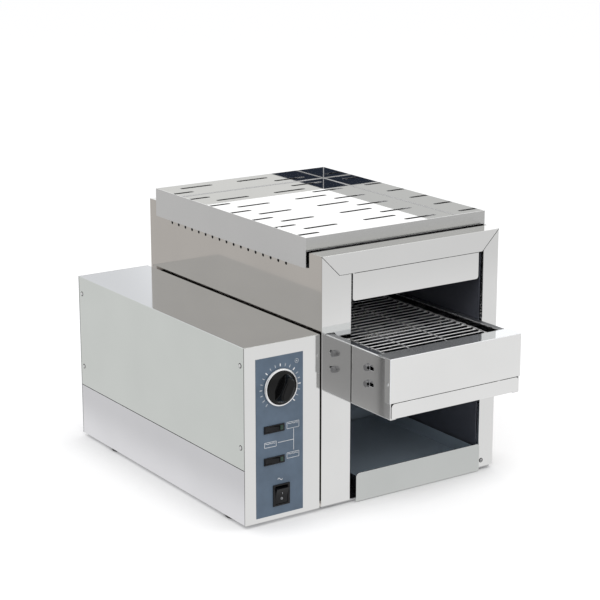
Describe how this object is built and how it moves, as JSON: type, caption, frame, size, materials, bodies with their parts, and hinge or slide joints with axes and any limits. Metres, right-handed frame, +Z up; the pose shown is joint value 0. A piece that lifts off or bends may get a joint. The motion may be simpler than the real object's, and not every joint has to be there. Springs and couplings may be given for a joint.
{
  "type": "conveyor toaster",
  "caption": "Countertop conveyor toaster with a wire belt through a heated tunnel, a lower toast exit, a warming tray on top and a control box at the left.",
  "frame": {"origin": "on the ground under the middle of the whole object", "axes": "+X to the right along the front, +Y from the front to the back, +Z up"},
  "size_m": [0.4176, 0.5456, 0.3638],
  "materials": {
    "polished_steel": "bright annealed, near mirror",
    "satin_steel": "fine satin",
    "plain_steel": "mill finish",
    "aluminised_steel": "heat-tinted",
    "machined_steel": "turned",
    "belt_steel": "drawn wire",
    "zinc_screw": "zinc plated",
    "bronze": "sintered bronze",
    "quartz": "clear quartz with a coil",
    "ceramic": "glazed ceramic",
    "label_blue": "printed polyester",
    "knob_black": "moulded",
    "bright_ring": "bright metallised",
    "switch_black": "moulded",
    "lens_green": "translucent",
    "dark_plastic": "moulded",
    "spacer_black": "fibre board",
    "motor_grey": "painted",
    "board_green": "solder resist",
    "nylon_white": "moulded",
    "foot_rubber": "moulded"
  },
  "bodies": {
    "root": {"base_pan": "plain_steel", "housing_left": "polished_steel", "housing_right": "polished_steel", "housing_back": "polished_steel", "front_rail": "polished_steel", "front_baffle": "polished_steel", "roof_panel": "aluminised_steel", "tray_bearers": "plain_steel", "warming_tray": "polished_steel", "tunnel_wall_left": "aluminised_steel", "tunnel_wall_right": "aluminised_steel", "upper_reflector": "aluminised_steel", "lower_reflector": "aluminised_steel", "upper_heaters": "quartz", "lower_heaters": "quartz", "heater_caps": "ceramic", "rear_deflector": "aluminised_steel", "toast_ramp": "polished_steel", "tray_runners": "plain_steel", "carriage_side_left": "polished_steel", "carriage_side_right": "polished_steel", "carriage_cover": "polished_steel", "tie_rods": "machined_steel", "carriage_bolts": "zinc_screw", "cover_rivets": "zinc_screw", "idler_axle": "machined_steel", "belt_rods": "belt_steel", "belt_strands": "belt_steel", "belt_rails": "plain_steel", "shaft_bushes": "bronze", "box_base": "satin_steel", "box_cover": "satin_steel", "box_front": "polished_steel", "box_back": "satin_steel", "box_spacer": "spacer_black", "box_screws": "zinc_screw", "control_label": "label_blue", "speed_potentiometer": "dark_plastic", "switch_frames": "switch_black", "switch_lenses": "lens_green", "main_switch_frame": "switch_black", "gear_motor": "motor_grey", "motor_bracket": "plain_steel", "control_board": "board_green", "terminal_block": "nylon_white", "fan_frame": "dark_plastic", "cable_gland": "dark_plastic", "feet": "foot_rubber"},
    "knob": {"speed_knob": "knob_black", "knob_ring": "bright_ring"},
    "upper_switch": {"upper_rocker": "switch_black"},
    "lower_switch": {"lower_rocker": "switch_black"},
    "main_switch": {"main_rocker": "switch_black"},
    "drive": {"drive_shaft": "machined_steel", "drive_wheels": "machined_steel", "shaft_coupling": "machined_steel"},
    "idler": {"idler_wheels": "machined_steel"},
    "fan": {"fan_rotor": "dark_plastic"},
    "crumb_drawer": {"crumb_tray": "polished_steel"},
    "toast_drawer": {"toast_tray": "polished_steel"}
  },
  "joints": [
    {"name": "knob_turn", "type": "hinge", "parent": "root", "child": "knob", "pos_m": [-0.1534, -0.1954, 0.184], "axis": [0, 1, 0], "range_deg": [-165, 115]},
    {"name": "upper_heater_switch", "type": "hinge", "parent": "root", "child": "upper_switch", "pos_m": [-0.1668, -0.1854, 0.1299], "axis": [0, 0, 1], "range_deg": [0, 20]},
    {"name": "lower_heater_switch", "type": "hinge", "parent": "root", "child": "lower_switch", "pos_m": [-0.1668, -0.1854, 0.0869], "axis": [0, 0, 1], "range_deg": [0, 20]},
    {"name": "main_switch_rock", "type": "hinge", "parent": "root", "child": "main_switch", "pos_m": [-0.1525, -0.1854, 0.038], "axis": [-1, 0, 0], "range_deg": [0, 20]},
    {"name": "drive_spin", "type": "hinge", "parent": "root", "child": "drive", "pos_m": [0.0681, 0.1766, 0.1995], "axis": [-1, 0, 0], "continuous": true},
    {"name": "idler_spin", "type": "hinge", "parent": "root", "child": "idler", "pos_m": [0.0681, -0.2234, 0.1995], "axis": [-1, 0, 0], "continuous": true},
    {"name": "fan_spin", "type": "hinge", "parent": "root", "child": "fan", "pos_m": [-0.1496, 0.2436, 0.155], "axis": [0, 1, 0], "continuous": true},
    {"name": "crumb_tray_slide", "type": "slide", "parent": "root", "child": "crumb_drawer", "axis": [0, -1, 0], "range_m": [0, 0.3]},
    {"name": "toast_tray_slide", "type": "slide", "parent": "root", "child": "toast_drawer", "axis": [0, -1, 0], "range_m": [0, 0.2]}
  ],
  "couplings": [
    {"joint": "idler_spin", "follows": "drive_spin", "ratio": 1}
  ]
}
